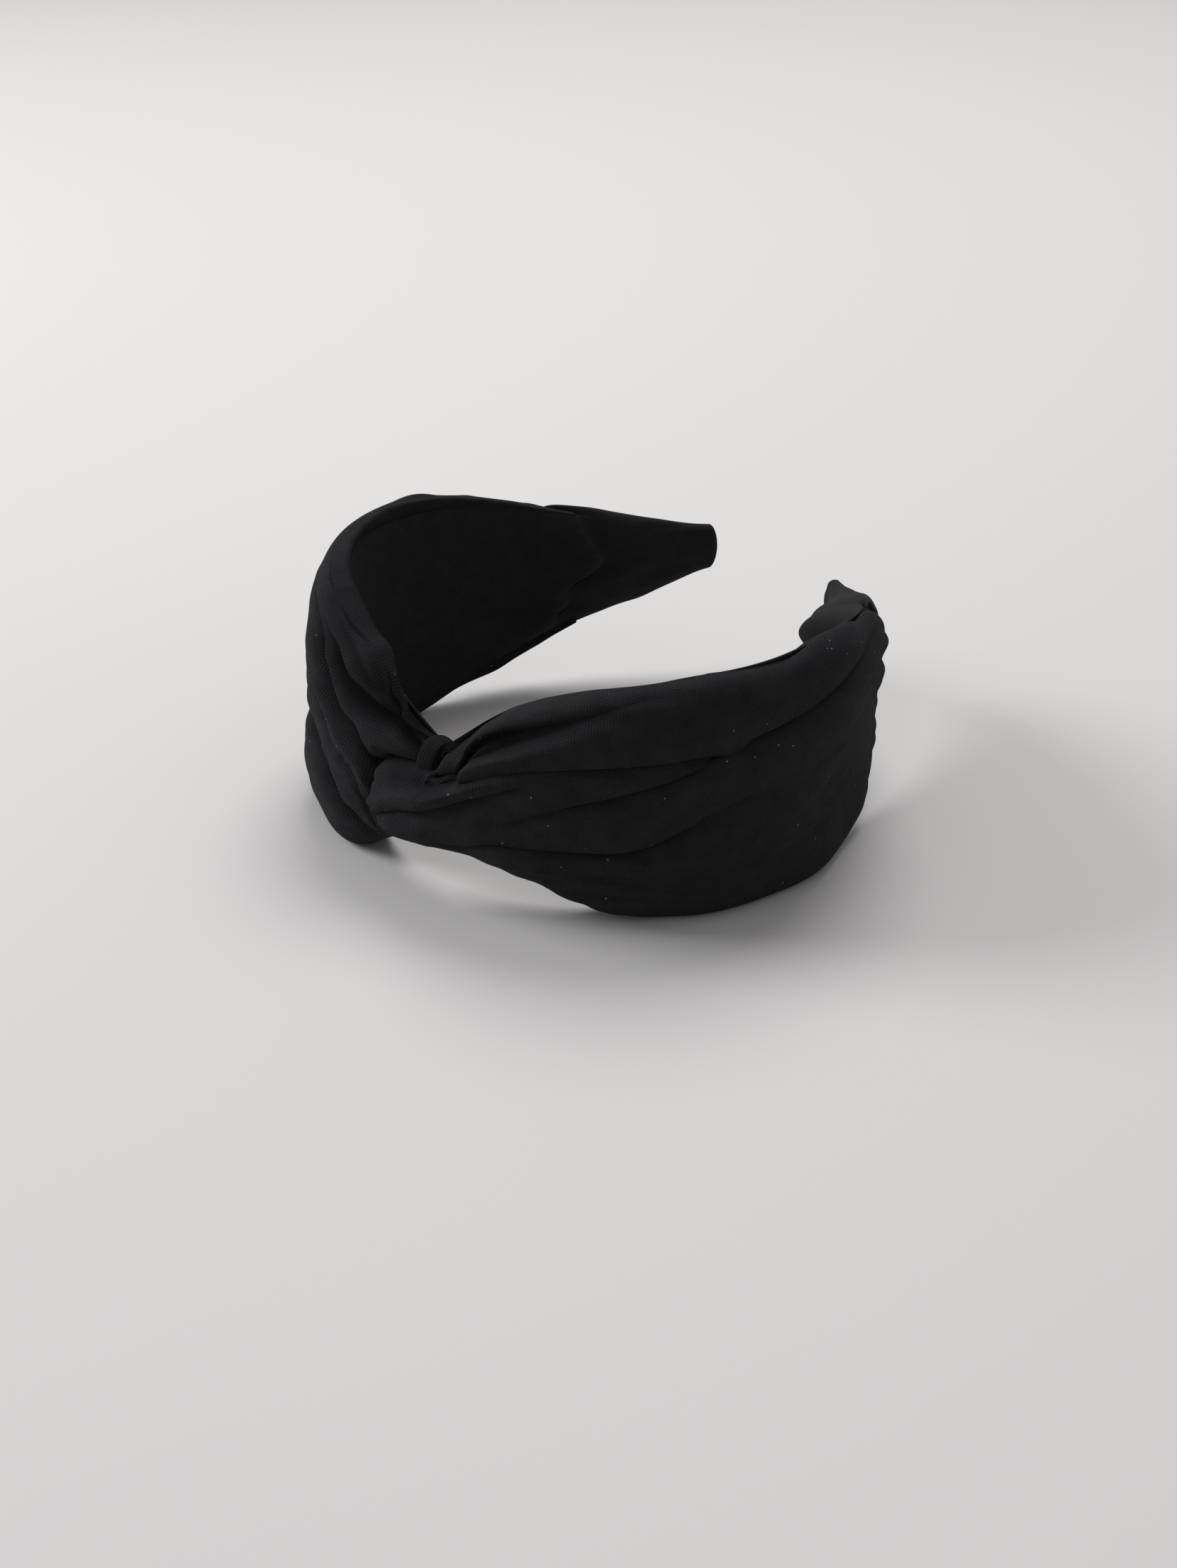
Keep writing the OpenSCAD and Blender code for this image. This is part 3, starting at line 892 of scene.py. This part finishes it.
def make_lining(side, arm, nodes):
    s = side * np.linspace(0, LINING_END, 300)[:, None]
    v = np.linspace(-1, 1, 100)[None, :]
    o = lining_o(s, v, arm)
    z = lining_z(s, v)
    s = np.broadcast_to(s, z.shape)
    inside, outside = place(s, o, z), place(s, np.minimum(o + LINING_T, -CORE_T / 2 - 0.05), z)
    uv = np.stack([s / 10, z / 10], -1)
    if side > 0:
        ob = shell("lining_" + arm, outside, inside, uv)
    else:
        ob = shell("lining_" + arm, inside, outside, uv)
    dress(ob, LINING)
    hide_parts(*nodes)
    bend(ob, arm)
    return ob


def make_sleeve(side, arm, name):
    """A loose tube over the tip, closed at its end. Its mouth is puckered and bowed on the lining side."""
    rows = 190
    t = 1 - (1 - np.linspace(0, 1, rows)[:, None]) ** 1.5
    a = np.linspace(0, 2 * np.pi, 181)[:-1][None, :]
    out_dir, up = superellipse(a, 1.0, 1.0, 2.4)
    inner = smooth(-out_dir, -0.2, 0.5)
    mouth = 148.0 * (1 - inner) + MOUTH(up) * inner
    end = ARM_LEN + TIP_WALL + 0.2 * SLEEVE_SAG[arm]
    s = mouth + t * (end - mouth)
    h = half_h(side * s) + 0.8 + 0.35 * smooth(up, 0, 1) - 1.5 * np.exp(-np.abs(s - mouth) / 3.5)
    sag = SLEEVE_SAG[arm] * np.exp(-(((s - 178) / 17) ** 2)) * smooth(-up, -0.6, 0.9)
    high = curve([(147, 5.2), (152, 5.1), (165, 3.9), (180, 3.0), (196, 2.3)])(s)
    low = curve([(147, 2.3), (156, 3.0), (170, 3.0), (196, 2.4)])(s)
    close = dome((end - s) / 2.4)
    along = s - mouth
    bulge = (pouch(s, up, arm) + 0.9 * np.exp(-(((along - 15) / 8) ** 2))) * inner
    pucker = np.exp(-along / 5.0) * (0.3 * np.sin(up * 16 + 1.5) + 0.2 * np.sin(up * 31))
    soft = 0.18 * ripple(s / 22, up * h / 7, seed=31) + 0.12 * ripple(s / 30, up * h / 3, seed=33)
    lip = 0.4 * np.exp(-(((along - 2) / 1.6) ** 2)) - 1.7 * np.exp(-along / 4.5)
    swell = pucker * inner + soft + lip + bulge
    reach = np.where(out_dir > 0, high, low)
    o = (0.1 + (reach + swell) * out_dir) * (0.25 + 0.75 * close)
    z = (h + 0.4 * soft) * up * close + shift(side * s) - sag * close
    points = place(side * s, o, z)
    if side < 0:
        points = points[:, ::-1]
    ob = tube("sleeve_fabric_" + name, points, grid_uv(points, s))
    dress(ob, LINING)
    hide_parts("sleeve_" + name)
    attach(ob, arm)
    return ob


def make_wadding(side, arm, nodes):
    """A flat pad on the strip's outer face, a little less tall than the strip."""
    s = np.linspace(0, ARM_LEN - 4, 150)[:, None]
    a = np.linspace(0, 2 * np.pi, 97)[:-1][None, :]
    top = curve([(0, 3.0), (191, 1.45)])(s)
    out_dir, up = superellipse(a, 1.0, 1.0, 6.0)
    half = (top - CORE_T / 2 - 0.05) / 2
    o = CORE_T / 2 + 0.05 + half + half * out_dir * (1 + 0.08 * ripple(s / 9, up * 4, seed=41))
    z = 0.98 * CORE_SHARE * half_h(s) * up + shift(side * s)
    points = place(side * np.broadcast_to(s, o.shape), o, z)
    if side < 0:
        points = points[:, ::-1]
    ob = tube("wadding_pad_" + arm, points, grid_uv(points, s))
    dress(ob, WADDING)
    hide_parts(*nodes)
    bend(ob, arm)
    return ob


lining_left = make_lining(-1, "left_arm", ["lining_left", "lining_crown"])
lining_right = make_lining(1, "right_arm", ["lining_right"])
sleeve_left = make_sleeve(-1, "left_arm", "left")
sleeve_right = make_sleeve(1, "right_arm", "right")
wadding_left = make_wadding(-1, "left_arm", ["wadding_left", "wadding_crown"])
wadding_right = make_wadding(1, "right_arm", ["wadding_right"])

for part in ("strip_crown", "strip_left", "strip_right"):
    dress(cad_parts[part], PLASTIC)


def threads(name, paths, radius, node_name, body):
    """Short sewing threads in one mesh, each a thin closed tube along its own bowed path."""
    points, faces = [], []
    sides, count = 7, 9
    turn = np.linspace(0, 2 * np.pi, sides + 1)[:-1]
    for path in paths:
        path = np.array(path)
        along = np.gradient(path, axis=0)
        along /= np.linalg.norm(along, axis=1)[:, None]
        first = np.cross(along, [0.3, 0.5, 0.8])
        first /= np.linalg.norm(first, axis=1)[:, None]
        second = np.cross(along, first)
        size = radius * dome(np.linspace(0.15, 1, count // 2 + 1))
        size = np.concatenate([size, size[-2::-1]])[:, None, None]
        ring = np.cos(turn)[None, :, None] * first[:, None] + np.sin(turn)[None, :, None] * second[:, None]
        base = len(points) * sides * count
        points.append((path[:, None] + ring * size).reshape(-1, 3))
        faces.append(grid_faces(count, sides, wrap=True) + base)
        j = np.arange(1, sides - 1)
        start = np.stack([0 * j, j, j + 1, j + 1], -1) + base
        end = np.stack([0 * j, j + 1, j, j], -1) + base + (count - 1) * sides
        faces += [start, end]
    ob = mesh_object(name, np.concatenate(points), np.concatenate(faces))
    dress(ob, THREAD)
    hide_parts(node_name)
    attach(ob, body)
    return ob


def stitch(s0, v0, s1, v1, arm, proud):
    """Nine points from one place on the lining to another, dipping into it at both ends."""
    t = np.linspace(0, 1, 9)
    s, v = s0 + (s1 - s0) * t, v0 + (v1 - v0) * t
    o = lining_o(s, v, arm) - proud * np.sin(np.pi * t) + 0.15
    return place(s, o, lining_z(s, v))


for side, arm, name in ((-1, "left_arm", "left"), (1, "right_arm", "right")):
    rows = []
    for at in np.arange(27, 141, 6.0):
        for v in (-0.9, 0.9):
            rows.append(stitch(side * at, v, side * (at + 1.6), v + 0.01, arm, 0.1))
    threads("lining_threads_" + name, rows, 0.14 * MM, "lining_stitches_" + name, arm)
    rows = []
    for v in np.linspace(-0.72, 0.72, 7):
        at = float(MOUTH(v))
        rows.append(stitch(side * (at - 1.4), v, side * (at + 0.8), v + 0.02, arm, 0.08))
    threads("sleeve_threads_" + name, rows, 0.13 * MM, "sleeve_stitches_" + name, arm)
tacks = [stitch(at, -0.16, at + 0.5, 0.16, "right_arm", 0.3) for at in (-6.0, -2.0, 2.0, 6.0)]
threads("knot_threads", tacks, 0.2 * MM, "knot_tacks", "crown")

# ---------------------------------------------------------------- floor, light and camera
# The focal length was fitted in pixels of a picture of this height.
PHOTO_HEIGHT_PX = 2212
FOCAL_PX = 3458.3
SENSOR_MM = 36
# Half the floor's side, in metres.
FLOOR_HALF = 9.0
# Both lights aim at the middle of the band.
LIGHT_AIM = (0, 0, 0.03)
EYE = Vector((0.3288, -0.4578, 0.2920))
AZIMUTH, ELEVATION, ROLL = math.radians(36.26), math.radians(27.52), math.radians(-0.28)


def make_floor():
    me = bpy.data.meshes.new("floor")
    r = FLOOR_HALF
    me.from_pydata([(-r, -r, 0), (r, -r, 0), (r, r, 0), (-r, r, 0)], [], [(0, 1, 2, 3)])
    ob = bpy.data.objects.new("floor", me)
    bpy.context.scene.collection.objects.link(ob)
    mat = bpy.data.materials.new("pale_floor")
    mat.use_nodes = True
    shader = mat.node_tree.nodes["Principled BSDF"]
    shader.inputs["Base Color"].default_value = (0.66, 0.625, 0.605, 1)
    shader.inputs["Roughness"].default_value = 0.6
    dress(ob, mat)


def area_light(name, place_at, size, watts, colour):
    data = bpy.data.lights.new(name, "AREA")
    data.shape = "DISK"
    data.size = size
    data.energy = watts
    data.color = colour
    ob = bpy.data.objects.new(name, data)
    ob.location = place_at
    ob.rotation_euler = (Vector(LIGHT_AIM) - Vector(place_at)).to_track_quat("-Z", "Y").to_euler()
    bpy.context.scene.collection.objects.link(ob)


def make_camera():
    level = math.cos(ELEVATION)
    back = Vector((math.sin(AZIMUTH) * level, -math.cos(AZIMUTH) * level, math.sin(ELEVATION)))
    right = Vector((math.cos(AZIMUTH), math.sin(AZIMUTH), 0))
    up = back.cross(right)
    r = right * math.cos(ROLL) + up * math.sin(ROLL)
    u = up * math.cos(ROLL) - right * math.sin(ROLL)
    data = bpy.data.cameras.new("camera")
    data.sensor_width = SENSOR_MM
    data.lens = FOCAL_PX / PHOTO_HEIGHT_PX * SENSOR_MM
    data.clip_start = 0.01
    ob = bpy.data.objects.new("camera", data)
    turn = Matrix((r, u, back)).transposed().to_4x4()
    ob.matrix_world = Matrix.Translation(EYE) @ turn
    bpy.context.scene.collection.objects.link(ob)
    bpy.context.scene.camera = ob


make_floor()
area_light("window", (-1.35, -0.55, 0.8), size=0.8, watts=21, colour=(0.94, 0.97, 1.0))
area_light("skylight", (-0.4, 0.92, 1.45), size=1.1, watts=16, colour=(0.98, 0.985, 1.0))
make_camera()
world = bpy.data.worlds.new("studio")
world.use_nodes = True
sky = world.node_tree.nodes["Background"]
sky.inputs["Color"].default_value = (0.86, 0.88, 0.92, 1)
sky.inputs["Strength"].default_value = 0.4
bpy.context.scene.world = world
bpy.context.scene.view_settings.view_transform = "Standard"
